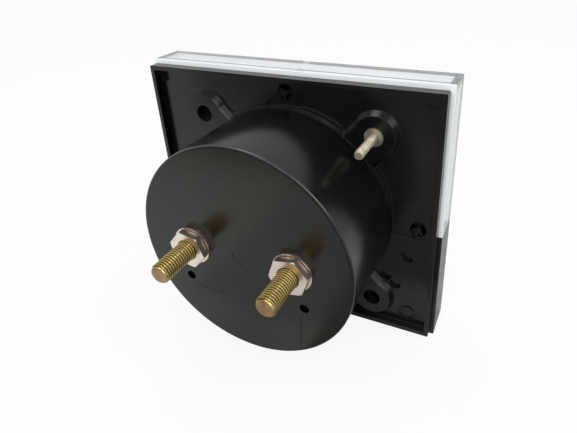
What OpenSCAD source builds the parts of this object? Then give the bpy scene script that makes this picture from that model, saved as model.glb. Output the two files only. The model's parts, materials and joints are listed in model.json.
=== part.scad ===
// Moving-coil panel meter, 4-inch class: clear cover, black mask, moulded base with a
// round rear barrel, two 1/4-inch terminal studs and the movement inside.
// Millimetres. +Z up, the dial faces -Y, the barrel points +Y. The origin is on the
// barrel's axis in the plane of the flange's rear lip, which is the panel's front face.
// Left and right are as the dial's reader sees them: left is -X.

/* [Flange] */
// overall flange width
flange_w = 103; // [98:0.5:112]
// flange height above the barrel's axis
flange_up = 46.3; // [45.6:0.1:52]
// flange height below the barrel's axis
flange_down = 41.8; // [40.5:0.1:48]
// depth of the flange's edge
edge_t = 3.5; // [3:0.1:4]
// width of the raised rear lip
lip_w = 1.5; // [1.2:0.1:2]
// depth of the tray inside the lip
tray_depth = 2.6; // [2.2:0.1:2.8]
// thickness of the plate behind the tray
plate_t = 2.9; // [2.5:0.1:3.2]
// corner radius of flange and cover
corner_r = 0.5; // [0.3:0.1:1.5]

/* [Barrel] */
// outer radius of the barrel
barrel_r = 36.2; // [36:0.05:36.6]
// barrel length from the lip plane
barrel_len = 30.9; // [30.5:0.1:34]
// wall of the barrel
barrel_wall = 2.8; // [2.2:0.1:3]
// thickness of the rear disc
disc_t = 3; // [2.5:0.1:3.5]
// rounding of the barrel's rear edge
barrel_edge = 0.8; // [0.5:0.1:1.2]
// radius of the raised ring segments round the barrel's foot
ring_r = 37.7; // [37.2:0.1:38.2]

/* [Cover] */
// how far cover and mask overhang the flange
overhang = 1.35; // [1.2:0.05:1.8]
// depth of cover and mask
cover_depth = 12.7; // [12.7:0.1:15]
// wall of cover and mask
cover_wall = 1.9; // [1.8:0.05:2]
// height of the line between mask and clear cover
split_z = -2; // [-2.6:0.1:-1.2]

/* [Terminals] */
// radius of the terminal studs, 1/4 inch
stud_r = 3.175; // [3:0.005:3.3]
// distance of each terminal from the barrel's axis
stud_x = 17.5; // [16.5:0.1:17.7]
// length of the studs behind the disc
stud_out = 15.9; // [14:0.1:22]
// nut across flats, 7/16 inch
nut_af = 11.11; // [10.5:0.01:12]
// nut thickness
nut_t = 2.2; // [2:0.1:3.2]
// flat washer radius
washer_r = 6.35; // [6.2:0.05:7]
// flat washer thickness
washer_t = 0.65; // [0.5:0.05:1]
// lock washer thickness
lock_t = 0.4; // [0.3:0.05:0.8]

/* [Mounting studs] */
// distance of each mounting hole from the two centre lines
mount_at = 30.85; // [30.6:0.05:31.2]
// radius of the mounting holes in the lugs
mount_hole_r = 3.05; // [2.6:0.05:3.2]
// radius of the mounting stud
mount_stud_r = 1.42; // [1.2:0.01:1.8]
// reach of the mounting stud behind the lip plane
mount_stud_out = 13.5; // [10:0.5:20]

/* [Movement] */
// gap between the yoke and the barrel's wall below it
yoke_gap = 1.9; // [1.6:0.1:2.2]
// radius of the core magnet
core_r = 9.5; // [9.2:0.1:9.6]
// bore radius of the soft-iron yoke
yoke_in = 12; // [11.9:0.1:12.3]
// outer radius of the yoke
yoke_out = 18; // [17:0.1:18]
// length of core and yoke
core_len = 14; // [13:0.1:14]
// pointer reach from the axis
pointer_len = 41; // [36:0.5:43]
// half of the pointer's working angle
half_swing = 45; // [40:1:45]

/* [Hidden] */
$fn = 48;
clr = 0.05;                                   // radial clearance of fitted parts
half_w = flange_w / 2;
floor_y = -tray_depth;
front_y = floor_y - plate_t;                  // front face of the spigot
cover_back = -edge_t;
cover_front = cover_back - cover_depth;
cover_in = cover_front + cover_wall;          // inside of the front wall
out_w = half_w + overhang;
out_up = flange_up + overhang;
out_down = flange_down + overhang;
barrel_in = barrel_r - barrel_wall;
axis_z = -(barrel_in - yoke_out - yoke_gap);  // height of the movement's axis
disc_in = barrel_len - disc_t;
spigot_gap = 0.1;
seam_gap = 0.1;                               // line between mask and clear cover
tray_corner = 0.3;
inner_corner = 0.6;                           // inside the cover and on the spigot
foot_flare = 0.6;                             // the barrel is wider where it meets the tray's floor
lug_r = 6.6;                                  // lug's round end at the top
lug_neck = 6.1;                               // half of the lug's neck at the top
lug_draft = 1.1;                              // how much wider a lug is at the tray's floor
lug_top = -0.15;                              // lugs end just below the lip plane
mount_hole_d = 4;
ring_h = 1;
ring_arcs = [[12, 33], [58, 80], [100, 122], [147, 168]];
edge_x = half_w - 6.4;                        // the mask screws' line
pocket = [ring_r - 0.8, half_w - lip_w - 1, -4.1, 7.2]; // x from, x to, z from, z to
pocket_d = 0.6;
screw_pts = [[0, flange_up - 5.3, 0], [-edge_x, -0.8, pocket_d], [edge_x, -0.8, pocket_d]]; // cover screw, then the mask's two: x, z, how deep it seats
corner_mark = [half_w - 3.9, flange_up - 3.9, 2]; // x, z, radius
head_r = 2.7;
head_h = 2;
sink_d = 1.2;                                 // dial screws' holes end this deep below the tray's floor
screw_r = 1.1;
boss_r = 3;
rib_low = 14;
rib_t = 2;                                    // ribs that tie the mask's screw bosses to it
screw_end = front_y - 5;
disc_hole_r = 1.6;
disc_holes = [[stud_x + 3, -12.9], [-stud_x - 3, -12.9]];
seams = [[[18.4, -16], [6.5, -16.4]], [[-19.5, -16.5], [-18.8, -28.3]]]; // what shows of the mould insert's outline
seam_w = 0.3;
seam_d = 0.15;
mark_r = 2.9;                                 // open ring mark in the disc's middle
mark_from = -115;
mark_to = 25;
relief_w = 1.4;                               // thread relief at the nut's outer face
relief_d = 0.45;
lock_r = 5.3;
head_in_r = 5.5;                              // terminal stud's inner flange
head_in_t = 2.4;
stud_in = disc_in - head_in_t;
nut_in = barrel_len + washer_t + lock_t;
nut_out = nut_in + nut_t;
core_y0 = -4;
core_y1 = core_y0 + core_len;
bracket_t = 1.5;
bracket_y = core_y1 + bracket_t;
post_x = barrel_in - 8.9;
post_r = 3;
post_screw_r = 1.2;
post_screw_len = 6;
tab_r = 5;                                    // bracket's ends round its screws
bar_w = 3;                                    // coil side, across the gap's circumference
coil_in = core_r + 0.5;
coil_mid = coil_in + 0.5;
coil_out = coil_in + 1.5;
coil_gap = 0.8;
coil_end = 1.6;
coil_y0 = core_y0 - coil_gap - coil_end;
coil_y1 = core_y1 + coil_gap + coil_end;
bridge_t = 1.4;
collet_r = 1.5;                               // hairspring's inner end
spring_t = 0.2;
spring_w = 0.4;
turn_gap = 0.65;
turns = 4;
hook_at = collet_r + turns * (turn_gap + spring_t) + 1.3;
bridge_x = 15;
front_bridge_y = -12.2;
rear_bridge_y = 15.5;
bridge_w = 4;
leg_r = 2;
leg_screw_r = 0.9;
leg_head_h = 1.1;
leg_screw_grip = 5;
jewel_seat_r = 2.9;
jewel_r = 1.8;
pivot_r = 0.9;
cup_r = pivot_r - 0.1;                          // jewel cup round the pivot's cone
needle_y = -9.6;                              // pointer's front face
needle_t = 0.5;
needle_w = 0.8;
hub_r = 2;
tail_w = 1;
weight_r = 1.1;
weight_len = 4;
tail_len = 10.5;
lever_y = front_bridge_y - 0.8;
lever_t = 0.6;
hook_r = 0.4;                                 // rod that holds a spring's outer end
hook_w = 1.6;
zero_arm = 17;                                // zero screw below the movement's axis
zero_z = axis_z - zero_arm;
zero_ecc = 1;
fork_w = 3.8;
fork_len = zero_arm + 2;
zero_pin_r = 0.7;
zero_r = 2.5;
zero_head_r = 4.2;
zero_head_t = 1.2;
dial_y = -8;
dial_t = 0.8;
dial_screws = [[-barrel_in - 2.6, 9], [barrel_in + 2.6, 9]];
dial_screw_r = 1.2;
dial_half = half_w - 5.5;
dial_top = flange_up - 3.8;
dial_foot = 5;                                // the dial is narrower below this height
dial_neck = edge_x - boss_r - 0.8;
dial_low = axis_z + hook_at + 1.3;
stop_at = 30;
stop_r = 0.6;
stop_angle = half_swing + 4.2;
shunt_r = head_in_r - 0.5;
shunt_w = 3;
shunt_t = 0.6;
lead_r = 0.6;
lead_x = stud_x + 3.9;
lead_tag_x = stud_x + 1.3;
lead_y = stud_in - 2;
lead_z = shunt_r - 1;
hole_marks = [[4, -11.4, 1.2, 1.2], [2.6, -12.6, 1.6, 1.2], [10, -21.6, 2, 1.2], [6.6, -24.4, 2, 1.2]]; // x inward of the mask screws' line, z, radius, depth
ring_mark = [1.9, -35.6, 3.1, 2.1, 0.5];      // the same, with the ring's inner radius before its depth

// ---- helpers: everything is drawn in x and z and pulled along y
module rod(r, y0, y1, x = 0, z = 0) translate([x, y1, z]) rotate([90, 0, 0]) cylinder(r = r, h = y1 - y0);
module taper(r0, r1, y0, y1, x = 0, z = 0) translate([x, y1, z]) rotate([90, 0, 0]) cylinder(r1 = r1, r2 = r0, h = y1 - y0);
module slab(y0, y1) translate([0, y1, 0]) rotate([90, 0, 0]) linear_extrude(y1 - y0) children();
module tube(r, r_in, y0, y1, x = 0, z = 0) translate([x, y1, z]) rotate([90, 0, 0]) linear_extrude(y1 - y0) difference() { circle(r); circle(r_in); }
module box(x0, x1, y0, y1, z0, z1) translate([x0, y0, z0]) cube([x1 - x0, y1 - y0, z1 - z0]);
module at_axis() translate([0, 0, axis_z]) children();
module swung(a) at_axis() rotate([0, a, 0]) children();
module arc_band(r0, r1, y0, y1, a0, a1) rotate([90, 0, 0]) rotate([0, 0, a0]) rotate_extrude(angle = a1 - a0) translate([r0, -y1]) square([r1 - r0, y1 - y0]);
module rounded(x0, x1, z0, z1, r) {
  translate([x0 + r, z0]) square([x1 - x0 - 2 * r, z1 - z0]);
  translate([x0, z0 + r]) square([x1 - x0, z1 - z0 - 2 * r]);
  for (x = [x0 + r, x1 - r]) for (z = [z0 + r, z1 - r]) translate([x, z]) circle(r, $fn = 24);
}
module pan_screw(x, z, y_seat, y_top, y_end, r, r_head, slot_a = 20) {
  difference() {
    union() {
      rod(r, min(y_seat, y_end), max(y_seat, y_end), x, z);
      if (y_top > y_seat) taper(r_head, r_head * 0.72, y_seat, y_top, x, z);
      else taper(r_head * 0.72, r_head, y_top, y_seat, x, z);
    }
    translate([x, y_top, z]) rotate([0, slot_a, 0]) cube([2.2 * r_head, 1.2, 0.22 * r_head * 2], center = true);
  }
}

// ---- moulded base
module barrel_solid() rotate([90, 0, 0]) rotate_extrude($fn = 128)
  polygon(concat([[0, -front_y], [barrel_r + foot_flare, -floor_y], [barrel_r, clr]],
    [for (i = [0:6]) [barrel_r - barrel_edge + barrel_edge * cos(i * 15), -(barrel_len - barrel_edge + barrel_edge * sin(i * 15))]],
    [[0, -barrel_len]]));
module lug(x, z) {
  foot = floor_y - 0.5;
  wider = lug_draft * (lug_top - foot) / (lug_top - floor_y);
  taper(lug_r + wider, lug_r, foot, lug_top, x, z);
  rotate([0, -atan2(z, x), 0]) translate([barrel_r - 2, 0, 0]) rotate([90, 0, 90]) linear_extrude(norm([x, z]) - barrel_r + 2)
    polygon([[foot, -lug_neck - wider], [lug_top, -lug_neck], [lug_top, lug_neck], [foot, lug_neck + wider]]);
}
module base() color([0.09, 0.09, 0.085]) difference() {
  union() {
    difference() {
      slab(cover_back, 0) rounded(-half_w, half_w, -flange_down, flange_up, corner_r);
      slab(floor_y, 1) rounded(-half_w + lip_w, half_w - lip_w, -flange_down + lip_w, flange_up - lip_w, tray_corner);
    }
    slab(front_y, floor_y) rounded(-out_w + cover_wall + spigot_gap, out_w - cover_wall - spigot_gap,
      -out_down + cover_wall + spigot_gap, out_up - cover_wall - spigot_gap, inner_corner);
    difference() {
      barrel_solid();
      rod(barrel_in, front_y - 1, disc_in, $fn = 128);
    }
    for (a = ring_arcs) arc_band(barrel_r - 1, ring_r, floor_y - 0.5, floor_y + ring_h, a[0], a[1], $fn = 96);
    for (x = [-mount_at, mount_at]) for (z = [-mount_at, mount_at]) lug(x, z);
    for (x = [-post_x, post_x]) rod(post_r, bracket_y, disc_in + 1, x, axis_z);
    for (p = dial_screws) rod(boss_r, dial_y + dial_t, front_y + 1, p[0], p[1]);
  }
  rod(barrel_in, front_y - 1, bracket_y, $fn = 128);
  for (x = [-mount_at, mount_at]) for (z = [-mount_at, mount_at]) rod(mount_hole_r, -mount_hole_d, 1, x, z);
  for (p = screw_pts) rod(screw_r + 0.2, front_y - 1, 0, p[0], p[1]);
  for (p = dial_screws) rod(dial_screw_r + clr, dial_y - 1, floor_y - sink_d, p[0], p[1]);
  for (x = [-post_x, post_x]) rod(post_screw_r + clr, bracket_y - 1, bracket_y + post_screw_len + 2, x, axis_z);
  for (x = [-stud_x, stud_x]) rod(stud_r + clr, disc_in - 1, barrel_len + 1, x, 0);
  for (s = [-1, 1]) {
    slab(floor_y - pocket_d, 1) translate([s > 0 ? pocket[0] : -pocket[1], pocket[2]]) square([pocket[1] - pocket[0], pocket[3] - pocket[2]]);
    for (m = hole_marks) rod(m[2], floor_y - m[3], 1, s * (edge_x - m[0]), m[1], $fn = 32);
    tube(ring_mark[2], ring_mark[3], floor_y - ring_mark[4], 1, s * (edge_x - ring_mark[0]), ring_mark[1], $fn = 32);
    rod(corner_mark[2], floor_y - 0.8, 0.5, s * corner_mark[0], corner_mark[1], $fn = 32);
  }
  for (p = disc_holes) rod(disc_hole_r, barrel_len - 2, barrel_len + 1, p[0], p[1]);
  arc_band(mark_r - seam_w, mark_r, barrel_len - seam_d, barrel_len + 1, mark_from, mark_to);
  for (p = seams) {
    run = p[1] - p[0];
    slab(barrel_len - seam_d, barrel_len + 1) translate(p[0]) rotate(atan2(run[1], run[0])) square([norm(run), seam_w]);
  }
}

// ---- clear cover above the split line, black mask below it
module shell(z0, z1) intersection() {
  difference() {
    slab(cover_front, cover_back) rounded(-out_w, out_w, -out_down, out_up, corner_r);
    slab(cover_in, cover_back + 1) rounded(-out_w + cover_wall, out_w - cover_wall, -out_down + cover_wall, out_up - cover_wall, inner_corner);
  }
  box(-out_w - 1, out_w + 1, cover_front - 1, cover_back + 1, z0, z1);
}
module clear_cover() color([0.85, 0.87, 0.95, 0.35]) difference() {
  union() {
    shell(split_z, out_up + 1);
    rod(boss_r, cover_in - 0.5, front_y, screw_pts[0][0], screw_pts[0][1]);
  }
  rod(screw_r + clr, screw_end - 1, 0, screw_pts[0][0], screw_pts[0][1]);
}
module mask() color([0.07, 0.07, 0.07]) difference() {
  union() {
    shell(-out_down - 1, split_z - seam_gap);
    for (i = [1, 2]) {
      rod(boss_r, cover_in + 0.2, front_y, screw_pts[i][0], screw_pts[i][1]);
      box(screw_pts[i][0] - rib_t / 2, screw_pts[i][0] + rib_t / 2, cover_in + 0.2, front_y, -rib_low, -1);
      box(screw_pts[i][0] - rib_t / 2, screw_pts[i][0] + rib_t / 2, cover_in - 0.5, front_y, -rib_low, split_z - 0.2);
    }
  }
  for (i = [1, 2]) rod(screw_r + clr, screw_end - 1, 0, screw_pts[i][0], screw_pts[i][1]);
  rod(zero_r + clr, cover_front - 1, cover_in + 1, 0, zero_z);
}
module case_screw(i) {
  p = screw_pts[i];
  seat = floor_y - p[2];
  difference() {
    pan_screw(p[0], p[1], seat, seat + head_h, screw_end, screw_r, head_r, [20, 70, -35][i]);
    translate([p[0], seat + head_h, p[1]]) rotate([0, [110, 160, 55][i], 0]) cube([1.3 * head_r, 1.2, 0.36 * head_r], center = true);
  }
}
module cover_screw() color([0.6, 0.6, 0.62]) case_screw(0);
module mask_screw_left() color([0.6, 0.6, 0.62]) case_screw(1);
module mask_screw_right() color([0.6, 0.6, 0.62]) case_screw(2);

// ---- mounting stud, the one that is still there
module mounting_stud() color([0.75, 0.72, 0.65]) translate([-mount_at, 0, mount_at]) difference() {
  union() {
    rod(mount_hole_r, -mount_hole_d, 0.4);
    rod(mount_stud_r, 0, mount_stud_out - 0.4);
    taper(mount_stud_r, mount_stud_r - 0.35, mount_stud_out - 0.4, mount_stud_out);
  }
  for (i = [0:19]) rotate([0, i * 18, 0]) translate([mount_hole_r, -mount_hole_d / 2 + 0.4, 0]) rotate([0, 45, 0]) cube([0.5, mount_hole_d + 2, 0.5], center = true);
}

// ---- terminals
module terminal(s) color([0.72, 0.56, 0.28]) {
  rod(stud_r, stud_in + 1, nut_out - relief_w, s * stud_x, 0);
  rod(stud_r - relief_d, nut_out - relief_w - 0.1, nut_out + 0.2, s * stud_x, 0);
  rod(stud_r, nut_out + 0.1, barrel_len + stud_out - 0.7, s * stud_x, 0);
  taper(stud_r, stud_r - 0.6, barrel_len + stud_out - 0.7, barrel_len + stud_out, s * stud_x, 0);
  rod(head_in_r, stud_in, disc_in, s * stud_x, 0);
}
module nut(s, a) color([0.8, 0.78, 0.74]) translate([s * stud_x, nut_out, 0]) rotate([90, 0, 0]) linear_extrude(nut_t)
  difference() { rotate(90 - a) circle(r = nut_af / sqrt(3), $fn = 6); circle(stud_r + clr); }
module terminal_stud_left() terminal(-1);
module terminal_stud_right() terminal(1);
module flat_washer(s) color([0.7, 0.7, 0.68]) tube(washer_r, stud_r + 0.2, barrel_len, barrel_len + washer_t, s * stud_x, 0);
module flat_washer_left() flat_washer(-1);
module flat_washer_right() flat_washer(1);
module lock_washer(s) color([0.45, 0.38, 0.32]) difference() {
  tube(lock_r, stud_r + 0.15, barrel_len + washer_t, nut_in, s * stud_x, 0);
  translate([s * stud_x, 0, 0]) rotate([0, 60, 0]) box(0, 8, barrel_len, nut_in + 1, -0.3, 0.3);
}
module lock_washer_left() lock_washer(-1);
module lock_washer_right() lock_washer(1);
module hex_nut_left() nut(-1, 40.3);
module hex_nut_right() nut(1, 19.3);

// ---- fixed part of the movement
module magnet_core() color([0.35, 0.35, 0.37]) at_axis() rod(core_r, core_y0, core_y1, $fn = 64);
module yoke_ring() color([0.45, 0.45, 0.47]) at_axis() difference() {
  tube(yoke_out, yoke_in, core_y0, core_y1, $fn = 96);
  for (x = [-bridge_x, bridge_x]) rod(leg_screw_r + clr, core_y0 - 1, core_y1 + 1, x, 0);
}
module spacer(a) color([0.6, 0.62, 0.65]) at_axis() arc_band(core_r, yoke_in, core_y0 + 1, core_y1 - 1, a - 18, a + 18, $fn = 96);
module core_spacer_upper() spacer(90);
module core_spacer_lower() spacer(270);
module movement_bracket() color([0.7, 0.71, 0.73]) at_axis() difference() {
  slab(core_y1, bracket_y) difference() {
    union() {
      circle(yoke_out, $fn = 96);
      translate([-post_x, -tab_r]) square([2 * post_x, 2 * tab_r]);
      for (x = [-post_x, post_x]) translate([x, 0]) circle(tab_r);
    }
    circle(yoke_in + 0.3, $fn = 96);
    for (x = [-post_x, post_x]) translate([x, 0]) circle(post_screw_r + 0.2);
    for (x = [-bridge_x, bridge_x]) translate([x, 0]) circle(leg_screw_r + clr);
  }
}
module bracket_screw(s) color([0.72, 0.58, 0.3]) pan_screw(s * post_x, axis_z, core_y1, core_y1 - 1.6, bracket_y + post_screw_len, post_screw_r, 2 * post_screw_r, 15 * s);
module bracket_screw_left() bracket_screw(-1);
module bracket_screw_right() bracket_screw(1);
module bridge(y0, leg0, leg1, slot) at_axis() difference() {
  union() {
    slab(y0, y0 + bridge_t) {
      translate([-bridge_x, -bridge_w / 2]) square([2 * bridge_x, bridge_w]);
      circle(slot);
      for (x = [-bridge_x, bridge_x]) translate([x, 0]) circle(leg_r + 0.4);
    }
    for (x = [-bridge_x, bridge_x]) rod(leg_r, leg0, leg1, x, 0);
  }
  rod(jewel_r + clr, y0 - 1, y0 + bridge_t + 1);
  for (x = [-bridge_x, bridge_x]) rod(leg_screw_r + clr, leg0 - 3, leg1 + 3, x, 0);
}
module front_bridge() color([0.72, 0.58, 0.3]) bridge(front_bridge_y, front_bridge_y + 0.5, core_y0, jewel_seat_r);
module rear_bridge() color([0.72, 0.58, 0.3]) bridge(rear_bridge_y, bracket_y, rear_bridge_y + 0.5, jewel_seat_r);
module front_bridge_screw(s) color([0.72, 0.58, 0.3]) pan_screw(s * bridge_x, axis_z, front_bridge_y, front_bridge_y - leg_head_h, core_y0 + leg_screw_grip, leg_screw_r, 2 * leg_screw_r, 30);
module front_bridge_screw_left() front_bridge_screw(-1);
module front_bridge_screw_right() front_bridge_screw(1);
module rear_bridge_screw(s) color([0.72, 0.58, 0.3]) pan_screw(s * bridge_x, axis_z, rear_bridge_y + bridge_t, rear_bridge_y + bridge_t + leg_head_h, core_y1 - leg_screw_grip, leg_screw_r, 2 * leg_screw_r, 30);
module rear_bridge_screw_left() rear_bridge_screw(-1);
module rear_bridge_screw_right() rear_bridge_screw(1);
module front_jewel_screw() color([0.72, 0.58, 0.3]) at_axis() difference() {
  rod(jewel_r, lever_y - 0.6, front_bridge_y + bridge_t + 0.4);
  rod(cup_r, front_bridge_y + bridge_t - 0.5, front_bridge_y + bridge_t + 1);
  translate([0, lever_y - 0.6, 0]) cube([5, 0.8, 0.5], center = true);
}
module rear_jewel_screw() color([0.72, 0.58, 0.3]) at_axis() difference() {
  rod(jewel_r, rear_bridge_y - 0.4, rear_bridge_y + bridge_t + 1.2);
  rod(cup_r, rear_bridge_y - 1, rear_bridge_y + 0.5);
  translate([0, rear_bridge_y + bridge_t + 1.2, 0]) cube([5, 0.8, 0.5], center = true);
}
module rear_anchor() color([0.72, 0.58, 0.3]) at_axis() {
  difference() {
    slab(rear_bridge_y + bridge_t, rear_bridge_y + bridge_t + lever_t) {
      circle(2 * jewel_r);
      rotate(28) translate([0, -hook_w / 2]) square([hook_at + 0.6, hook_w]);
    }
    rod(jewel_r + clr, rear_bridge_y, rear_bridge_y + bridge_t + lever_t + 1);
  }
  rotate([0, -28, 0]) rod(hook_r, coil_y1 + 0.6, rear_bridge_y + bridge_t + lever_t / 2, hook_at, 0, $fn = 24);
}

// ---- moving coil, drawn at the zero end of the scale
module coil_loop(r0, r1, y0, y1, w) difference() {
  box(-r1, r1, y0, y1, -w / 2, w / 2);
  box(-r0, r0, y0 + (r1 - r0), y1 - (r1 - r0), -w, w);
}
module coil_former() color([0.75, 0.76, 0.78]) swung(-half_swing) coil_loop(coil_in, coil_mid, coil_y0 + coil_out - coil_mid, coil_y1 - coil_out + coil_mid, bar_w);
module coil_winding() color([0.6, 0.3, 0.12]) swung(-half_swing) coil_loop(coil_mid, coil_out, coil_y0, coil_y1, bar_w - 0.4);
module pivot(y0, y1, y_tip) {
  rod(pivot_r, y0, y1);
  if (y_tip < y0) taper(0.3, pivot_r, y_tip, y0); else taper(pivot_r, 0.3, y1, y_tip);
}
module front_pivot() color([0.6, 0.6, 0.63]) at_axis() pivot(needle_y - 0.4, coil_y0, front_bridge_y + bridge_t - 0.2);
module rear_pivot() color([0.6, 0.6, 0.63]) at_axis() pivot(coil_y1, rear_bridge_y - 1.2, rear_bridge_y + 0.2);
module spiral(y0, y1) at_axis() slab(y0, y1) {
  difference() { circle(collet_r); circle(pivot_r + 0.02); }
  for (i = [0:turns - 1]) difference() { circle(collet_r + spring_t + turn_gap + i * (turn_gap + spring_t)); circle(collet_r + turn_gap + i * (turn_gap + spring_t)); }
  translate([collet_r - spring_t, -spring_t / 2]) square([turns * (turn_gap + spring_t) + spring_t / 2, spring_t]);
}
module front_hairspring() color([0.7, 0.5, 0.25]) spiral(coil_y0 - coil_gap - spring_w, coil_y0 - coil_gap);
module rear_hairspring() color([0.7, 0.5, 0.25]) spiral(coil_y1 + coil_gap, coil_y1 + coil_gap + spring_w);
module pointer() color([0.1, 0.1, 0.1]) swung(-half_swing) difference() {
  slab(needle_y, needle_y + needle_t) {
    circle(hub_r);
    polygon([[-needle_w * 0.75, 0], [needle_w * 0.75, 0], [needle_w * 0.44, pointer_len * 0.8], [needle_w * 0.19, pointer_len], [-needle_w * 0.19, pointer_len], [-needle_w * 0.44, pointer_len * 0.8]]);
    translate([-tail_w / 2, -tail_len]) square([tail_w, tail_len]);
  }
  rod(pivot_r + 0.01, needle_y - 1, needle_y + 2);
}
module balance_weight() color([0.72, 0.58, 0.3]) swung(-half_swing) difference() {
  translate([0, needle_y + needle_t / 2, 0.6 - tail_len]) cylinder(r = weight_r, h = weight_len);
  box(-tail_w / 2 - 0.01, tail_w / 2 + 0.01, needle_y - 0.01, needle_y + needle_t + 0.01, -tail_len - 1, 0);
}

// ---- zero adjustment
module zero_lever() color([0.72, 0.58, 0.3]) at_axis() {
  slab(lever_y, lever_y + lever_t) difference() {
    union() {
      circle(2 * jewel_r);
      rotate(28) translate([0, -hook_w / 2]) square([hook_at + 0.6, hook_w]);
      translate([-fork_w / 2, -fork_len]) square([fork_w, fork_len]);
    }
    circle(jewel_r + clr);
    translate([-zero_pin_r - 0.15, -fork_len - 1]) square([2 * zero_pin_r + 0.3, fork_len - zero_arm + zero_ecc + 3]);
  }
  rotate([0, -28, 0]) rod(hook_r, lever_y + lever_t / 2, coil_y0 - 0.6, hook_at, 0, $fn = 24);
}
module zero_screw() color([0.12, 0.12, 0.12]) translate([0, 0, zero_z]) difference() {
  union() {
    rod(zero_head_r, cover_front - 0.05 - zero_head_t, cover_front - 0.05);
    rod(zero_r, cover_front - 0.5, cover_in + 0.6);
    rod(zero_pin_r, cover_in, lever_y + lever_t + 0.2, 0, zero_ecc);
  }
  box(-5, 5, cover_front - 3, cover_front - 0.7, -0.5, 0.5);
}
module zero_clip() color([0.55, 0.55, 0.58]) tube(3.8, zero_r, cover_in + 0.1, cover_in + 0.45, 0, zero_z);

// ---- dial
module dial_plate() color([0.95, 0.95, 0.92]) difference() {
  slab(dial_y, dial_y + dial_t) difference() {
    polygon([[-dial_half, dial_foot], [-dial_neck, dial_foot], [-dial_neck, dial_low], [dial_neck, dial_low],
      [dial_neck, dial_foot], [dial_half, dial_foot], [dial_half, dial_top], [-dial_half, dial_top]]);
    translate([screw_pts[0][0], screw_pts[0][1]]) circle(boss_r + 0.6);
  }
  for (p = dial_screws) rod(dial_screw_r + 0.2, dial_y - 1, dial_y + 2, p[0], p[1]);
  for (s = [-1, 1]) rod(stop_r, dial_y - 1, dial_y + 2, s * stop_at * sin(stop_angle), axis_z + stop_at * cos(stop_angle), $fn = 24);
}
module dial_screw(i, a) color([0.8, 0.8, 0.8]) pan_screw(dial_screws[i][0], dial_screws[i][1], dial_y, dial_y - 1.3, floor_y - sink_d - 0.4, dial_screw_r, 2 * dial_screw_r, a);
module dial_screw_left() dial_screw(0, 40);
module dial_screw_right() dial_screw(1, -25);
module stop_pin(s) color([0.15, 0.15, 0.15]) rod(stop_r, needle_y - stop_r, dial_y + dial_t, s * stop_at * sin(stop_angle), axis_z + stop_at * cos(stop_angle), $fn = 24);
module stop_left() stop_pin(-1);
module stop_right() stop_pin(1);

// ---- electrical parts behind the movement
module shunt() color([0.65, 0.5, 0.4]) slab(stud_in - shunt_t, stud_in) {
  for (s = [-1, 1]) translate([s * stud_x, 0]) circle(shunt_r);
  translate([-stud_x, -shunt_w / 2]) square([2 * stud_x, shunt_w]);
}
module lead(s, y_end) color([0.7, 0.2, 0.12]) {
  translate([s * lead_x, lead_y, lead_z]) rotate([0, 90, s > 0 ? 180 : 0]) cylinder(r = lead_r, h = lead_x - lead_tag_x, $fn = 16);
  rod(lead_r, y_end, lead_y, s * lead_x, lead_z, $fn = 16);
  rod(lead_r, lead_y, stud_in - shunt_t, s * lead_tag_x, lead_z, $fn = 16);
}
module lead_left() lead(-1, core_y0 + 1);
module lead_right() lead(1, core_y1 + 4);

base();
clear_cover();
mask();
cover_screw();
mask_screw_left();
mask_screw_right();
mounting_stud();
terminal_stud_left();
terminal_stud_right();
flat_washer_left();
flat_washer_right();
lock_washer_left();
lock_washer_right();
hex_nut_left();
hex_nut_right();
magnet_core();
yoke_ring();
core_spacer_upper();
core_spacer_lower();
movement_bracket();
bracket_screw_left();
bracket_screw_right();
front_bridge();
front_bridge_screw_left();
front_bridge_screw_right();
rear_bridge();
rear_bridge_screw_left();
rear_bridge_screw_right();
front_jewel_screw();
rear_jewel_screw();
coil_former();
coil_winding();
front_pivot();
rear_pivot();
front_hairspring();
rear_hairspring();
pointer();
balance_weight();
zero_lever();
rear_anchor();
zero_screw();
zero_clip();
dial_plate();
dial_screw_left();
dial_screw_right();
stop_left();
stop_right();
shunt();
lead_left();
lead_right();
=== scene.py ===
import bpy
import json
import math
from mathutils import Matrix, Vector


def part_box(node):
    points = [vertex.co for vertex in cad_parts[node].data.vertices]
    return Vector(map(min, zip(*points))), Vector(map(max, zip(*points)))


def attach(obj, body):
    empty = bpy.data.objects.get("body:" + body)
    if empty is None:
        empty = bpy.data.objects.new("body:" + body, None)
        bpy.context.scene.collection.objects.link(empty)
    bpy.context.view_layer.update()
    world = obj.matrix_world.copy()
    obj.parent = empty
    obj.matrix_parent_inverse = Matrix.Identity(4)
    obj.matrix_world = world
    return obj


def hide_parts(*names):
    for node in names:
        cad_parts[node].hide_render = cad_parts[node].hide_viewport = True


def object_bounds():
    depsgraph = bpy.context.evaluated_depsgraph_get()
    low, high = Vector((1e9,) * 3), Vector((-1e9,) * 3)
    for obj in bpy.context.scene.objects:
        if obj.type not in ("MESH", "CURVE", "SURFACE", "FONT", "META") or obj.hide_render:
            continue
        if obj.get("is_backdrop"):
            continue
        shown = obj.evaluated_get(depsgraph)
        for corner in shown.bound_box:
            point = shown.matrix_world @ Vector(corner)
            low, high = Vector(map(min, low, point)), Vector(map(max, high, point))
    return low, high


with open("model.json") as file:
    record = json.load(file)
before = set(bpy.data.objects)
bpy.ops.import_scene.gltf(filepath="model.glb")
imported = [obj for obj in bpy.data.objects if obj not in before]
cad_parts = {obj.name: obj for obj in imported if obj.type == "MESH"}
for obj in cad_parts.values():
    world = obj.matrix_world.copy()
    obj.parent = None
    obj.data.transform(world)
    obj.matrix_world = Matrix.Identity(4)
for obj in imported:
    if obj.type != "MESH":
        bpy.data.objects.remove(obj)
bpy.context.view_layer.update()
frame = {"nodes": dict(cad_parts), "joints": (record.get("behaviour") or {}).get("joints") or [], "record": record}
nodes = frame["nodes"]

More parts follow.
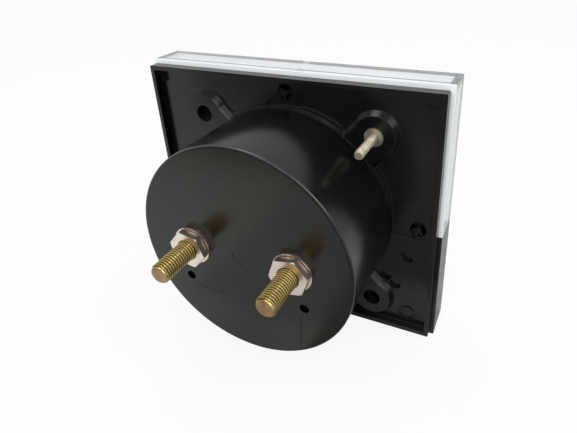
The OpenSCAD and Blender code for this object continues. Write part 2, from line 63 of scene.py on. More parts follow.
viewSettings = {
    "place": (-0.07177, 0.12475, 0.08801),
    "azimuth": 205.636, "elevation": 26.305, "roll": -2.413,    # degrees
    "sensor": 36, "lens": 29.80, "shiftX": -0.0500, "shiftY": -0.0953,
    "near": 0.005, "far": 20,
}


def placeCamera(s):
    a, e, r = (math.radians(s[k]) for k in ("azimuth", "elevation", "roll"))
    back = Vector((math.sin(a) * math.cos(e), -math.cos(a) * math.cos(e), math.sin(e)))
    right = (-back).cross(Vector((0, 0, 1))).normalized()
    up = right.cross(-back)
    sideways = right * math.cos(r) + up * math.sin(r)
    upward = up * math.cos(r) - right * math.sin(r)
    data = bpy.data.cameras.new("bench_camera")
    data.sensor_width = s["sensor"]
    data.lens = s["lens"]
    data.shift_x, data.shift_y = s["shiftX"], s["shiftY"]
    data.clip_start, data.clip_end = s["near"], s["far"]
    camera = bpy.data.objects.new("bench_camera", data)
    bpy.context.scene.collection.objects.link(camera)
    turn = Matrix((sideways, upward, back)).transposed().to_4x4()
    camera.matrix_world = Matrix.Translation(s["place"]) @ turn
    bpy.context.scene.camera = camera


placeCamera(viewSettings)
bpy.context.scene.view_settings.view_transform = "Standard"
print("camera placed")


# small helpers for modelling by hand
facing = 0.9                          # a normal's share along y, past which a face looks that way
weld = 1e-6                           # points nearer than this are one


def pickNothing():
    if bpy.context.object and bpy.context.object.mode != "OBJECT":
        bpy.ops.object.mode_set(mode="OBJECT")
    bpy.ops.object.select_all(action="DESELECT")


def pickOnly(piece):
    pickNothing()
    bpy.context.view_layer.objects.active = piece
    piece.select_set(True)


def editStart(piece, kind="VERT"):
    pickOnly(piece)
    bpy.ops.object.mode_set(mode="EDIT")
    bpy.ops.mesh.select_mode(type=kind)
    bpy.ops.mesh.select_all(action="DESELECT")


def editEnd():
    bpy.ops.object.mode_set(mode="OBJECT")


def pickFaces(piece, test):
    # back in edit mode with only the faces that pass the test
    editStart(piece, "FACE")
    editEnd()
    for f in piece.data.polygons:
        f.select = test(f)
    bpy.ops.object.mode_set(mode="EDIT")


def nameIt(name):
    piece = bpy.context.object
    piece.name = name
    piece.data.name = name
    return piece


def settle(piece):
    # place, turn and scale go into the mesh
    pickOnly(piece)
    bpy.ops.object.transform_apply(location=True, rotation=True, scale=True)


def applyAll(piece):
    pickOnly(piece)
    for m in list(piece.modifiers):
        bpy.ops.object.modifier_apply(modifier=m.name)


def closeUp(piece, gap=weld):
    editStart(piece)
    bpy.ops.mesh.select_all(action="SELECT")
    bpy.ops.mesh.remove_doubles(threshold=gap)
    bpy.ops.mesh.normals_make_consistent(inside=False)
    editEnd()


def cutAt(piece, point, normal, keepBelow=True):
    # plane cut through the whole piece, closed with a face
    editStart(piece)
    bpy.ops.mesh.select_all(action="SELECT")
    bpy.ops.mesh.bisect(plane_co=point, plane_no=normal, use_fill=True, threshold=1e-7,
                        clear_outer=keepBelow, clear_inner=not keepBelow)
    editEnd()


def cutAcross(piece, y, keepBelow=True):
    cutAt(piece, (0, y, 0), (0, 1, 0), keepBelow)


def combine(pieces, name):
    pickNothing()
    for p in pieces:
        p.select_set(True)
    bpy.context.view_layer.objects.active = pieces[0]
    bpy.ops.object.join()
    return nameIt(name)


def smoothBy(piece, degrees):
    pickOnly(piece)
    bpy.ops.object.shade_smooth_by_angle(angle=math.radians(degrees))


def copyMesh(source, name):
    twin = bpy.data.objects.new(name, source.data.copy())
    twin.data.name = name
    bpy.context.scene.collection.objects.link(twin)
    return twin


def copyNode(name, newName):
    # a merged copy of a solid, to start a more detailed piece from
    piece = copyMesh(nodes[name], newName)
    closeUp(piece)
    return piece


def giveMaterial(piece, material):
    piece.data.materials.clear()
    piece.data.materials.append(material)


# the two kinds of thread
def rodOf(node):
    # a stud's axis and its outer end
    low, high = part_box(node)
    return {"x": (low[0] + high[0]) / 2, "z": (low[2] + high[2]) / 2, "end": round(high[1], 6)}


discFace = round(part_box("base")[1][1], 6)
terminalThread = {
    "major": 0.003175, "depth": 0.0005, "pitch": 0.000907,
    "flat": 0.17,                     # width of crest and root, in pitches
    "chamfer": 0.0007, "coneSlope": 0.85, "steps": 48,
    "start": discFace - 0.0003, **rodOf("terminal_stud_right"),
    "shankGap": 0.0001,               # the plain shank ends this far before the thread
    "faceDeep": 0.0001,               # how near to the end a face is the sawn one
}
studThread = {
    "major": 0.00142, "depth": 0.00034, "pitch": 0.000635, "flat": 0.14,
    "chamfer": 0.0004, "coneSlope": 0.85, "steps": 32,
    "start": 0.0002, **rodOf("mounting_stud"),
    "collarTop": 0.00039,             # the solid's collar is kept up to here
}


# small helpers for the finishes
mottle = (0.35, 0.65)                 # the part of a noise's range that a colour uses
grit = (0.3, 0.7)                     # and the part that roughness uses


def startMaterial(name):
    m = bpy.data.materials.new(name)
    m.use_nodes = True
    tree = m.node_tree
    shader = tree.nodes["Principled BSDF"]
    return m, tree, shader


def coords(tree, scale=(1, 1, 1)):
    c = tree.nodes.new("ShaderNodeTexCoord")
    k = tree.nodes.new("ShaderNodeMapping")
    k.inputs["Scale"].default_value = scale
    tree.links.new(c.outputs["Object"], k.inputs["Vector"])
    return k.outputs["Vector"]


def parted(tree, vector):
    n = tree.nodes.new("ShaderNodeSeparateXYZ")
    tree.links.new(vector, n.inputs[0])
    return n.outputs


def noise(tree, vector, scale, detail=3.0, rough=0.5):
    n = tree.nodes.new("ShaderNodeTexNoise")
    n.inputs["Scale"].default_value = scale
    n.inputs["Detail"].default_value = detail
    n.inputs["Roughness"].default_value = rough
    tree.links.new(vector, n.inputs["Vector"])
    return n.outputs["Fac"]


def span(tree, value, low, high, outLow=0.0, outHigh=1.0):
    r = tree.nodes.new("ShaderNodeMapRange")
    for key, v in (("From Min", low), ("From Max", high), ("To Min", outLow), ("To Max", outHigh)):
        r.inputs[key].default_value = v
    tree.links.new(value, r.inputs["Value"])
    return r.outputs["Result"]


def arith(tree, kind, *values):
    x = tree.nodes.new("ShaderNodeMath")
    x.operation = kind
    for i, value in enumerate(values):
        if isinstance(value, (int, float)):
            x.inputs[i].default_value = value
        else:
            tree.links.new(value, x.inputs[i])
    return x.outputs[0]


def blendColour(tree, factor, one, two):
    x = tree.nodes.new("ShaderNodeMix")
    x.data_type = "RGBA"
    tree.links.new(factor, x.inputs[0])
    for socket, c in ((x.inputs[6], one), (x.inputs[7], two)):
        if isinstance(c, tuple):
            socket.default_value = (*c, 1)
        else:
            tree.links.new(c, socket)
    return x.outputs[2]


def bump(tree, height, strength, distance, before=None):
    b = tree.nodes.new("ShaderNodeBump")
    b.inputs["Strength"].default_value = strength
    b.inputs["Distance"].default_value = distance
    tree.links.new(height, b.inputs["Height"])
    if before:
        tree.links.new(before, b.inputs["Normal"])
    return b.outputs["Normal"]


mouldingLook = {
    "dark": (0.0022, 0.0023, 0.0021), "light": (0.0036, 0.0037, 0.0034),
    "roughLow": 0.19, "roughHigh": 0.26,
    "cloudScale": 45, "fineScale": 700, "waveScale": 70,
    "grain": 0.008, "grainDeep": 0.00005, "wave": 0.03, "waveDeep": 0.0005,
    "edge": 0.00022,                  # how round the edges look
    "rearFade": (discFace - 0.0013, discFace - 0.0004),
    "rearDark": (0.0045, 0.0020, 0.0006), "rearLight": (0.0080, 0.0045, 0.0025), "rearRough": 0.26,
    # painted sheen: a lighter colour on edges and sloping walls stands in for their highlights
    "paintedSheen": (0.15, 0.155, 0.155), "paintedSheenAll": 0.16,
    "steep": (0.18, 0.4), "flatter": (0.72, 0.92), "upward": (0.15, 0.7),    # leans that are worn
    # leans that get the painted sheen
    "glints": (((-0.645, 0.41, 0.645), 1.0), ((0, 0.41, 0.91), 0.005)), "glintWide": 0.03,
    # upward faces inside the tray are painted a little lighter
    "upLighterTo": 0.0, "upLighterFade": 0.0002, "upLighterLean": (0.6, 0.9), "upLighter": 0.012,
}


def paintedSheenMask(tree, look, lean, normal, across):
    # edges and sloping walls that look up and back are painted lighter: a painted sheen, with painted glints at
    # the listed leans
    steep = span(tree, lean["Y"], *look["steep"])
    flatter = span(tree, lean["Y"], *look["flatter"], 1, 0)
    lit = span(tree, span(tree, lean["Z"], *look["upward"]), 0, 1, 0, look["paintedSheenAll"])
    for way, farSide in look["glints"]:
        near = tree.nodes.new("ShaderNodeVectorMath")
        near.operation = "DOT_PRODUCT"
        tree.links.new(normal, near.inputs[0])
        near.inputs[1].default_value = way
        spot = span(tree, near.outputs["Value"], 1 - look["glintWide"], 1)
        spot = arith(tree, "MULTIPLY", spot, span(tree, across, -farSide, farSide, 1, 0))
        lit = arith(tree, "MAXIMUM", lit, spot)
    return arith(tree, "MULTIPLY", arith(tree, "MULTIPLY", steep, flatter), lit)


def blackMoulding(name, look):
    # dense black plastic with the faint waviness of a polished mould; the rear disc is browner
    m, tree, shader = startMaterial(name)
    v = coords(tree)
    place = parted(tree, v)
    rear = span(tree, place["Y"], *look["rearFade"])
    cloud = span(tree, noise(tree, v, look["cloudScale"]), *mottle)
    front = blendColour(tree, cloud, look["dark"], look["light"])
    back = blendColour(tree, cloud, look["rearDark"], look["rearLight"])
    plain = blendColour(tree, rear, front, back)
    edge = tree.nodes.new("ShaderNodeBevel")
    edge.samples = 6
    edge.inputs["Radius"].default_value = look["edge"]
    lean = parted(tree, edge.outputs["Normal"])
    # painted sheen and painted glints on edges and sloping walls
    paintedSheen = paintedSheenMask(tree, look, lean, edge.outputs["Normal"], place["X"])
    # what faces up inside the tray is painted a little lighter
    inTray = span(tree, place["Y"], look["upLighterTo"], look["upLighterTo"] + look["upLighterFade"], 1, 0)
    level = span(tree, lean["Z"], *look["upLighterLean"], 0, look["upLighter"] / look["paintedSheen"][0])
    lighter = arith(tree, "MAXIMUM", paintedSheen, arith(tree, "MULTIPLY", inTray, level))
    tree.links.new(blendColour(tree, lighter, plain, look["paintedSheen"]), shader.inputs["Base Color"])
    fine = noise(tree, v, look["fineScale"], 3, 0.6)
    rough = span(tree, fine, *grit, look["roughLow"], look["roughHigh"])
    rough = arith(tree, "MULTIPLY_ADD", rear, look["rearRough"] - look["roughHigh"], rough)
    tree.links.new(rough, shader.inputs["Roughness"])
    waves = noise(tree, v, look["waveScale"], 2)
    wavy = bump(tree, waves, look["wave"], look["waveDeep"], edge.outputs["Normal"])
    tree.links.new(bump(tree, fine, look["grain"], look["grainDeep"], wavy), shader.inputs["Normal"])
    return m


brassLook = {
    "bright": (0.62, 0.47, 0.19), "brown": (0.46, 0.32, 0.11), "roughLow": 0.26, "roughHigh": 0.36,
    # rootDark is painted shade in the thread's root
    "rootDark": (0.10, 0.055, 0.015),
    "rootShade": (0.000355, 0.000055),     # depths below the crest between which the painted root shade thins out
    "unshadedTip": (0.0006, 0.0004),        # and distances from the tip, which has none
}
studLook = {
    "bright": (0.66, 0.60, 0.49), "brown": (0.42, 0.36, 0.26), "roughLow": 0.45, "roughHigh": 0.6,
    # the stud's thread roots carry painted shade too
    "rootDark": (0.20, 0.17, 0.12), "rootShade": (0.00034, 0.0001), "unshadedTip": (0.0006, 0.0003),
}
faceLook = {"bright": (0.47, 0.31, 0.17), "brown": (0.33, 0.18, 0.09), "roughLow": 0.32, "roughHigh": 0.5}
nickelLook = {"bright": (0.98, 0.84, 0.77), "brown": (0.87, 0.72, 0.63), "roughLow": 0.27, "roughHigh": 0.38}
steelLook = {"bright": (0.56, 0.55, 0.53), "brown": (0.36, 0.33, 0.30), "roughLow": 0.28, "roughHigh": 0.45}
blackSteelLook = {
    "bright": (0.05, 0.05, 0.05), "brown": (0.03, 0.028, 0.026), "roughLow": 0.2, "roughHigh": 0.32,
}
bronzeLook = {"bright": (0.40, 0.29, 0.19), "brown": (0.20, 0.13, 0.08), "roughLow": 0.3, "roughHigh": 0.5}
stripLook = dict(bronzeLook, bright=(0.5, 0.38, 0.3))
magnetLook = {"bright": (0.30, 0.30, 0.31), "brown": (0.2, 0.19, 0.19), "roughLow": 0.35, "roughHigh": 0.55}
ironLook = dict(magnetLook, bright=(0.42, 0.42, 0.43))
aluminiumLook = {"bright": (0.72, 0.72, 0.73), "brown": (0.58, 0.58, 0.6), "roughLow": 0.3, "roughHigh": 0.45}
copperLook = {"bright": (0.55, 0.22, 0.09), "brown": (0.38, 0.12, 0.05), "roughLow": 0.25, "roughHigh": 0.4}
metalGrain = {"cloudScale": 420, "tarnish": (0.38, 0.68), "lineScale": 900, "scratchDeep": 0.00003}


def threadRootShade(tree, look, thread):
    # painted shade in the thread's root, found by the distance from the rod's axis
    place = parted(tree, coords(tree))
    across = tree.nodes.new("ShaderNodeCombineXYZ")
    aside = arith(tree, "SUBTRACT", arith(tree, "ABSOLUTE", place["X"]), abs(thread["x"]))
    tree.links.new(aside, across.inputs["X"])
    tree.links.new(arith(tree, "SUBTRACT", place["Z"], thread["z"]), across.inputs["Z"])
    away = tree.nodes.new("ShaderNodeVectorMath")
    away.operation = "LENGTH"
    tree.links.new(across.outputs[0], away.inputs[0])
    crest = span(tree, away.outputs["Value"], *(thread["major"] - d for d in look["rootShade"]))
    tip = span(tree, place["Y"], *(thread["end"] - d for d in look["unshadedTip"]))
    return arith(tree, "MAXIMUM", crest, tip)


def turnedMetal(name, look, stretch=(1, 1, 1), scratch=0.05, thread=None):
    m, tree, shader = startMaterial(name)
    shader.inputs["Metallic"].default_value = 1.0
    cloud = span(tree, noise(tree, coords(tree), metalGrain["cloudScale"], 4, 0.6), *metalGrain["tarnish"])
    lines = noise(tree, coords(tree, stretch), metalGrain["lineScale"], 3, 0.6)
    tone = blendColour(tree, cloud, look["bright"], look["brown"])
    if thread:
        # thread roots painted darker, as shade
        tone = blendColour(tree, threadRootShade(tree, look, thread), look["rootDark"], tone)
    tree.links.new(tone, shader.inputs["Base Color"])
    rough = span(tree, lines, *grit, look["roughLow"], look["roughHigh"])
    tree.links.new(rough, shader.inputs["Roughness"])
    tree.links.new(bump(tree, lines, scratch, metalGrain["scratchDeep"]), shader.inputs["Normal"])
    return m


clearLook = {
    "tintLow": (0.95, 0.94, 0.985), "tintHigh": (0.975, 0.965, 1.0), "ior": 1.49,
    "cloudScale": 60, "fineScale": 700, "roughLow": 0.01, "roughHigh": 0.05,
    # how deep each region reaches in from the cover's outside
    "window": 0.0023, "top": 0.00245, "side": 0.00255, "fade": 0.0006,
    "band": 0.0018, "line": 0.003, "rear": 0.0002, "lineFade": 0.0002, "stepFade": 0.0001,
    "milk": 0.2, "bandMilk": 0.6, "corner": 0.5, "lineTint": (0.26, 0.29, 0.34),
}


def clearPlastic(name, look):
    # water-clear window; the side walls scatter a little light
    m, tree, shader = startMaterial(name)
    shader.inputs["IOR"].default_value = look["ior"]
    low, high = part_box("clear_cover")
    v = coords(tree)
    place = parted(tree, v)

    def beyond(value, start, fade):
        return span(tree, value, start, start + fade)

    behind = beyond(place["Y"], low[1] + look["window"] - look["fade"], look["fade"])
    above = beyond(place["Z"], high[2] - look["top"], look["fade"])
    beside = beyond(arith(tree, "ABSOLUTE", place["X"]), high[0] - look["side"], look["fade"])
    walls = arith(tree, "MAXIMUM", arith(tree, "MAXIMUM", behind, above), beside)
    # the rebate that sits over the case is milkier, and its step shows as a thin line
    band = beyond(place["Y"], high[1] - look["band"] - look["stepFade"], look["stepFade"])
    rear = beyond(place["Y"], high[1] - look["rear"] - look["stepFade"], look["stepFade"])
    inWalls = arith(tree, "MULTIPLY", walls, look["milk"])
    inBand = arith(tree, "MULTIPLY", band, look["bandMilk"])
    milk = arith(tree, "MAXIMUM", arith(tree, "MAXIMUM", inWalls, inBand), rear)
    tree.links.new(arith(tree, "SUBTRACT", 1.0, milk), shader.inputs["Transmission Weight"])
    step = arith(tree, "SUBTRACT", beyond(place["Y"], high[1] - look["line"], look["lineFade"]), band)
    # the upright corners of the walls are seen through more plastic
    corner = arith(tree, "MULTIPLY", arith(tree, "MULTIPLY", above, beside), look["corner"])
    corner = arith(tree, "MULTIPLY", corner, arith(tree, "SUBTRACT", 1.0, band))
    grey = arith(tree, "MAXIMUM", step, corner)
    cloud = span(tree, noise(tree, v, look["cloudScale"], 2), *mottle)
    tint = blendColour(tree, cloud, look["tintLow"], look["tintHigh"])
    tree.links.new(blendColour(tree, grey, tint, look["lineTint"]), shader.inputs["Base Color"])
    fine = noise(tree, v, look["fineScale"])
    rough = span(tree, fine, *grit, look["roughLow"], look["roughHigh"])
    tree.links.new(rough, shader.inputs["Roughness"])
    return m


paintGrain = {"cloudScale": 120, "fineScale": 1100, "deep": 0.00005}


def paint(name, one, two, low, high, grain=0.03):
    m, tree, shader = startMaterial(name)
    v = coords(tree)
    cloud = span(tree, noise(tree, v, paintGrain["cloudScale"]), *mottle)
    tree.links.new(blendColour(tree, cloud, one, two), shader.inputs["Base Color"])
    fine = noise(tree, v, paintGrain["fineScale"])
    tree.links.new(span(tree, fine, *grit, low, high), shader.inputs["Roughness"])
    tree.links.new(bump(tree, fine, grain, paintGrain["deep"]), shader.inputs["Normal"])
    return m


finish = {
    "moulded_black": blackMoulding("black_moulding", mouldingLook),
    "mask_black": blackMoulding("mask_moulding", dict(mouldingLook, roughLow=0.18)),
    "clear_plastic": clearPlastic("clear_acrylic", clearLook),
    "brass": turnedMetal("turned_brass", brassLook, (1, 1, 1), 0.01, terminalThread),
    "nickel_plate": turnedMetal("nickel_plating", nickelLook, (1, 6, 1), 0.02),
    "steel": turnedMetal("zinc_steel", steelLook),
    "bronze_spring": turnedMetal("spring_bronze", bronzeLook),
    "magnet": turnedMetal("ground_magnet", magnetLook, (1, 8, 1)),
    "soft_iron": turnedMetal("soft_iron", ironLook),
    "aluminium": turnedMetal("plain_aluminium", aluminiumLook, (6, 1, 1)),
    "copper_wire": turnedMetal("enamelled_copper", copperLook, (1, 20, 1), 0.3),
    "pointer_black": paint("black_pointer_paint", (0.012, 0.012, 0.012), (0.02, 0.02, 0.02), 0.4, 0.55),
    "dial_white": paint("white_dial_paint", (0.80, 0.80, 0.765), (0.84, 0.84, 0.81), 0.5, 0.65, 0.02),
    "screw_black": paint("black_adjuster", (0.012, 0.012, 0.012), (0.018, 0.018, 0.018), 0.3, 0.42),
    "shunt_metal": turnedMetal("resistance_strip", stripLook, (8, 1, 1)),
    "lead_red": paint("red_sleeving", (0.42, 0.03, 0.02), (0.5, 0.05, 0.03), 0.4, 0.5),
}
blackSteel = turnedMetal("blackened_steel", blackSteelLook)
brassFace = turnedMetal("brass_end_face", faceLook, (14, 1, 1), 0.2)
dullNickel = turnedMetal("dull_nickel", studLook, (1, 4, 1), 0.05, studThread)
darkScrews = ("cover_screw", "mask_screw_left", "mask_screw_right")
slotOf = {p["node"]: p["material_slot"] for p in frame["record"]["subparts"]}
for name, node in nodes.items():
    for place in node.material_slots:
        place.material = blackSteel if name in darkScrews else finish[slotOf[name]]
print("finishes on", len(nodes), "solids")


# threads
def threadedRod(name, s):
    # one turn of the thread's outline, drawn point by point and wound along y
    pitch, major, root = s["pitch"], s["major"], s["major"] - s["depth"]
    flat = s["flat"] * pitch
    side = (pitch - 2 * flat) / 2
    spare = 2                         # turns to cut off at each end
    turns = int((s["end"] - s["start"]) / pitch) + 2 * spare
    pickNothing()
    bpy.ops.mesh.primitive_plane_add(size=0.001, location=(0, 0, 0))
    rod = nameIt(name)
    editStart(rod)
    bpy.ops.mesh.select_all(action="SELECT")
    bpy.ops.mesh.merge(type="CENTER")
    bpy.ops.transform.translate(value=(root, s["start"] - spare * pitch, 0))
    for step in ((0, flat, 0), (s["depth"], side, 0), (0, flat, 0), (-s["depth"], side, 0)):
        bpy.ops.mesh.extrude_region_move(TRANSFORM_OT_translate={"value": step})
    editEnd()
    wind = rod.modifiers.new("wind", "SCREW")
    wind.axis, wind.angle, wind.screw_offset, wind.iterations = "Y", -2 * math.pi, pitch, turns
    wind.steps = wind.render_steps = s["steps"]
    wind.use_merge_vertices, wind.merge_threshold = True, weld
    applyAll(rod)
    closeUp(rod, 2 * weld)
    cutAcross(rod, s["start"], keepBelow=False)
    cutAcross(rod, s["end"])
    closeUp(rod, 2 * weld)
    # the tip's chamfer: what stands past the cone is drawn in to it
    for v in rod.data.vertices:
        wide = math.hypot(v.co.x, v.co.z)
        limit = major - s["chamfer"] * s["coneSlope"] * max(0, (v.co.y - s["end"]) / s["chamfer"] + 1)
        if wide > limit:
            v.co.x, v.co.z = v.co.x * limit / wide, v.co.z * limit / wide
    return rod


def smoothThread(piece, degrees=30, endLean=0.97):
    # crests and flanks stay apart, and the ends are flat
    smoothBy(piece, degrees)
    for f in piece.data.polygons:
        if abs(f.normal.y) > endLean:
            f.use_smooth = False


def standAt(piece, x, z):
    piece.location = (x, 0, z)
    settle(piece)


rodMaster = threadedRod("thread_master", terminalThread)
for side in ("left", "right"):
    node = "terminal_stud_" + side
    rod = copyMesh(rodMaster, "thread_" + side)
    standAt(rod, rodOf(node)["x"], 0)
    shank = copyNode(node, "shank_" + side)
    cutAcross(shank, terminalThread["start"] - terminalThread["shankGap"])
    piece = combine([rod, shank], "threaded_terminal_" + side)
    giveMaterial(piece, finish["brass"])
    piece.data.materials.append(brassFace)
    tip = terminalThread["end"] - terminalThread["faceDeep"]
    for f in piece.data.polygons:
        f.material_index = int(f.normal.y > facing and f.center.y > tip)
    smoothThread(piece)
    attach(piece, "case")
    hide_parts(node)
bpy.data.objects.remove(rodMaster, do_unlink=True)
print("terminal threads cut")

collar = copyNode("mounting_stud", "stud_collar")
cutAcross(collar, studThread["collarTop"])
pin = threadedRod("stud_pin", studThread)
standAt(pin, studThread["x"], studThread["z"])
studPiece = combine([pin, collar], "mounting_stud_threaded")
giveMaterial(studPiece, dullNickel)
smoothThread(studPiece)
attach(studPiece, "case")
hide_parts("mounting_stud")
print("mounting stud threaded")


# nuts
nutCut = {
    "sides": 96, "chamfer": 0.00026,
    "land": 0.93,                     # flat face's radius, in corner radii
    "lead": 0.00035,                  # bevel at the bore
    "smooth": 25,
}


def turnedNut(node, name, s):
    # a turned blank with a bore, then six flats taken off it
    low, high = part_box(node)
    middle = (Vector(low) + Vector(high)) / 2
    spots = [(v.co.x - middle.x, v.co.z - middle.z) for v in nodes[node].data.vertices]
    corner = max(math.hypot(*p) for p in spots)
    bore = min(math.hypot(*p) for p in spots)
    far = max(spots, key=lambda p: math.hypot(*p))
    first = math.atan2(far[1], far[0])
    depth = high[1] - low[1] - 2 * s["chamfer"]
    pickNothing()
    bpy.ops.mesh.primitive_cylinder_add(vertices=s["sides"], radius=corner, depth=depth, location=middle,
                                        rotation=(math.pi / 2, 0, 0))
    nut = nameIt(name)
    settle(nut)
    small = bore / (bore + s["lead"])
    for way in (1, -1):
        pickFaces(nut, lambda f: f.normal.y * way > facing)
        bpy.ops.mesh.extrude_region_move(TRANSFORM_OT_translate={"value": (0, way * s["chamfer"], 0)})
        bpy.ops.transform.resize(value=(s["land"], 1, s["land"]), center_override=middle)
        bpy.ops.mesh.inset(thickness=corner * s["land"] - bore - s["lead"])
        bpy.ops.mesh.extrude_region_move(TRANSFORM_OT_translate={"value": (0, -way * s["lead"], 0)})
        bpy.ops.transform.resize(value=(small, 1, small), center_override=middle)
        editEnd()
    pickFaces(nut, lambda f: abs(f.normal.y) > facing and len(f.vertices) == s["sides"])
    bpy.ops.mesh.bridge_edge_loops()
    editEnd()
    half = math.pi / 6                # from a corner to the middle of a flat
    for i in range(6):
        angle = first + half + 2 * half * i
        way = Vector((math.cos(angle), 0, math.sin(angle)))
        cutAt(nut, middle + way * corner * math.cos(half), way)
    closeUp(nut)
    return nut


for side in ("left", "right"):
    node = "hex_nut_" + side
    nut = turnedNut(node, "turned_nut_" + side, nutCut)
    smoothBy(nut, nutCut["smooth"])
    giveMaterial(nut, finish["nickel_plate"])
    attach(nut, "case")
    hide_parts(node)
print("nuts chamfered")


# dial print
dialLook = {
    "sweep": 45, "radius": 0.0335, "line": 0.00035, "boldLine": 1.5, "major": 0.0032, "minor": 0.0018,
    "majors": 5, "minorsEach": 10, "arcSteps": 60,
    "figure": 0.0052, "figureOut": 0.0052, "lift": 0.00003,
}


def swing(look, share):
    # angle from upright at a share of the scale
    return math.radians(look["sweep"]) * (2 * share - 1)


def scaleTick(look, face, i, count):
    big = i % look["minorsEach"] == 0
    half = i % (look["minorsEach"] // 2) == 0
    length = look["major"] if big else (look["major"] + look["minor"]) / 2 if half else look["minor"]
    pickNothing()
    bpy.ops.mesh.primitive_plane_add(size=1, location=(0, 0, 0), rotation=(math.pi / 2, 0, 0))
    tick = nameIt("tick")
    tick.scale = (look["line"] * (look["boldLine"] if big else 1.0), length, 1)
    settle(tick)
    tick.location = (0, face, look["radius"] + length / 2)
    settle(tick)
    tick.rotation_euler = (0, swing(look, i / count), 0)
    settle(tick)
    return tick


def scaleArc(look, face):
    # a short strip at the scale's zero end, whose leading edge is spun round the axis
    pickNothing()
    bpy.ops.mesh.primitive_plane_add(size=look["line"], location=(0, face, look["radius"]),
                                     rotation=(math.pi / 2, 0, 0))
    arc = nameIt("arc")
    settle(arc)
    arc.rotation_euler = (0, swing(look, 0), 0)
    settle(arc)
    editStart(arc, "EDGE")
    editEnd()
    for v in arc.data.vertices:
        v.select = math.atan2(v.co.x, v.co.z) > swing(look, 0)
    for e in arc.data.edges:
        e.select = all(arc.data.vertices[i].select for i in e.vertices)
    bpy.ops.object.mode_set(mode="EDIT")
    bpy.ops.mesh.spin(steps=look["arcSteps"], angle=math.radians(-2 * look["sweep"]),
                      center=(0, 0, 0), axis=(0, 1, 0))
    editEnd()
    return arc


def scaleFigure(look, face, i):
    angle = swing(look, i / look["majors"])
    out = look["radius"] + look["major"] + look["figureOut"]
    pickNothing()
    bpy.ops.object.text_add(location=(0, 0, 0), rotation=(math.pi / 2, 0, 0))
    word = bpy.context.object
    word.data.body = str(i * look["minorsEach"])
    word.data.size = look["figure"]
    word.data.align_x, word.data.align_y = "CENTER", "CENTER"
    bpy.ops.object.convert(target="MESH")
    word = nameIt("figure")
    word.location = (out * math.sin(angle), face, out * math.cos(angle))
    settle(word)
    return word


def dialPrint(look):
    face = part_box("dial_plate")[0][1] - look["lift"]
    swings = [j for j in frame["joints"] if j["name"] == "pointer_swing"]
    count = look["majors"] * look["minorsEach"]
    parts = [scaleTick(look, face, i, count) for i in range(count + 1)]
    parts.append(scaleArc(look, face))
    parts += [scaleFigure(look, face, i) for i in range(look["majors"] + 1)]
    printed = combine(parts, "dial_print")
    settle(printed)
    printed.location = (0, 0, swings[0]["pos_m"][2])
    settle(printed)
    # every face looks to the reader
    editStart(printed, "FACE")
    bpy.ops.mesh.select_all(action="SELECT")
    bpy.ops.mesh.remove_doubles(threshold=1e-7)
    pickFaces(printed, lambda f: f.normal.y > 0)
    bpy.ops.mesh.flip_normals()
    editEnd()
    return printed


printed = dialPrint(dialLook)
giveMaterial(printed, paint("scale_ink", (0.01, 0.01, 0.01), (0.016, 0.016, 0.016), 0.4, 0.5))
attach(printed, "case")
print("dial printed")


# room
roomLook = {
    "floorWide": 6, "floorColour": (0.68, 0.715, 0.685), "floorRough": 0.9,
    "floorGlow": 0.9,                 # share of the floor that shows as plain white
    "world": 0.75, "worldColour": (0.94, 1, 0.985),    # the room's own light
    # name, place, width and height, power
    "lamps": (
        ("ceiling_panel", (0.16, -0.18, 0.75), (0.3, 0.3), 1.4),
        ("side_panel", (-0.6, -0.05, 0.62), (0.24, 0.6), 1.9),
        ("edge_lamp", (-0.13, 0.33, 0.59), (0.08, 0.08), 0.3),
        ("rear_panel", (0.08, 0.72, 0.34), (0.3, 0.3), 1.7),
    ),
    "darkCard": ((0.24, 0.24, 0.24), (0.28, 0.28, 0.28)),
    "greyCard": ((0.48, 0.48, 0.48), (0.54, 0.54, 0.54)),
    "cardRough": (0.8, 0.9),
    # the standing card is seen only in reflections: a painted dark reflection where the room behind the camera is
    # dark
    "standingCard": ((0.03, 0.155, 0.07), (0.26, 0.22)),
    "cardLift": 0.001,
    # name, place on the bench, width and length, card
    # the lying cards are seen only in reflections: painted shade on the bench near the object and under the camera
    "flatCards": (
        ("lying_card", (-0.09, 0.09), (0.15, 0.14), "darkCard"),
        ("front_card", (0.0135, 0.125), (0.057, 0.15), "greyCard"),
        ("side_card", (-0.066, -0.035), (0.025, 0.08), "greyCard"),
    ),
}


def seenPlainly(tree):
    # 1 for what the camera sees itself or through clear plastic
    rays = tree.nodes.new("ShaderNodeLightPath")
    return arith(tree, "MAXIMUM", rays.outputs["Is Camera Ray"], rays.outputs["Is Transmission Ray"])


def aimed(place, aim):
    way = Vector(aim) - Vector(place)
    return Matrix.Translation(place) @ way.to_track_quat("-Z", "Y").to_matrix().to_4x4()


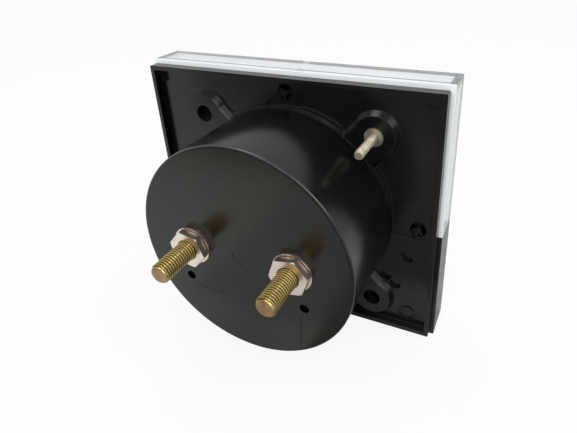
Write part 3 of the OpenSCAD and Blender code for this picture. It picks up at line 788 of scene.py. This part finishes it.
def layFloor(s, bottom):
    pickNothing()
    bpy.ops.mesh.primitive_plane_add(size=s["floorWide"], location=(0, 0, bottom))
    floor = nameIt("bench_top")
    m, tree, shader = startMaterial("pale_bench")
    shader.inputs["Base Color"].default_value = (*s["floorColour"], 1)
    shader.inputs["Roughness"].default_value = s["floorRough"]
    light = tree.nodes.new("ShaderNodeEmission")
    light.inputs["Strength"].default_value = 1.0
    mix = tree.nodes.new("ShaderNodeMixShader")
    tree.links.new(arith(tree, "MULTIPLY", seenPlainly(tree), s["floorGlow"]), mix.inputs[0])
    tree.links.new(shader.outputs[0], mix.inputs[1])
    tree.links.new(light.outputs[0], mix.inputs[2])
    tree.links.new(mix.outputs[0], tree.nodes["Material Output"].inputs["Surface"])
    giveMaterial(floor, m)
    floor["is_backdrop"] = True


def lightWorld(s):
    world = bpy.data.worlds.new("white_room")
    bpy.context.scene.world = world
    world.use_nodes = True
    tree = world.node_tree
    background = tree.nodes["Background"]
    seen = seenPlainly(tree)
    colour = blendColour(tree, seen, s["worldColour"], (1, 1, 1))
    tree.links.new(colour, background.inputs["Color"])
    tree.links.new(span(tree, seen, 0, 1, s["world"], 1.0), background.inputs["Strength"])


def hangLamp(name, place, size, power):
    data = bpy.data.lights.new(name, "AREA")
    data.shape, data.size, data.size_y, data.energy = "RECTANGLE", size[0], size[1], power
    lamp = bpy.data.objects.new(name, data)
    bpy.context.scene.collection.objects.link(lamp)
    lamp.matrix_world = aimed(place, (0, 0, 0))


def putCard(name, place, aim, size, colour):
    # a card is seen only in reflections
    pickNothing()
    bpy.ops.mesh.primitive_plane_add(size=1, location=(0, 0, 0))
    card = nameIt(name)
    card.scale = (*size, 1)
    settle(card)
    card.matrix_world = aimed(place, aim)
    settle(card)
    giveMaterial(card, colour)
    for kind in ("camera", "diffuse", "transmission", "volume_scatter", "shadow"):
        setattr(card, "visible_" + kind, False)
    card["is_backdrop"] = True


def buildRoom(s):
    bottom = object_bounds()[0][2]
    layFloor(s, bottom)
    lightWorld(s)
    for lamp in s["lamps"]:
        hangLamp(*lamp)
    card = {
        "darkCard": paint("dark_shade_card", *s["darkCard"], *s["cardRough"]),
        "greyCard": paint("grey_shade_card", *s["greyCard"], *s["cardRough"]),
    }
    # a painted dark reflection behind the camera
    (x, y, z), size = s["standingCard"]
    putCard("standing_card", (x, y, z), (x, 0, z), size, card["darkCard"])
    # painted shade on the bench, seen only in reflections
    for name, (x, y), size, tone in s["flatCards"]:
        putCard(name, (x, y, bottom + s["cardLift"]), (x, y, 1), size, card[tone])
    print("room built")


buildRoom(roomLook)
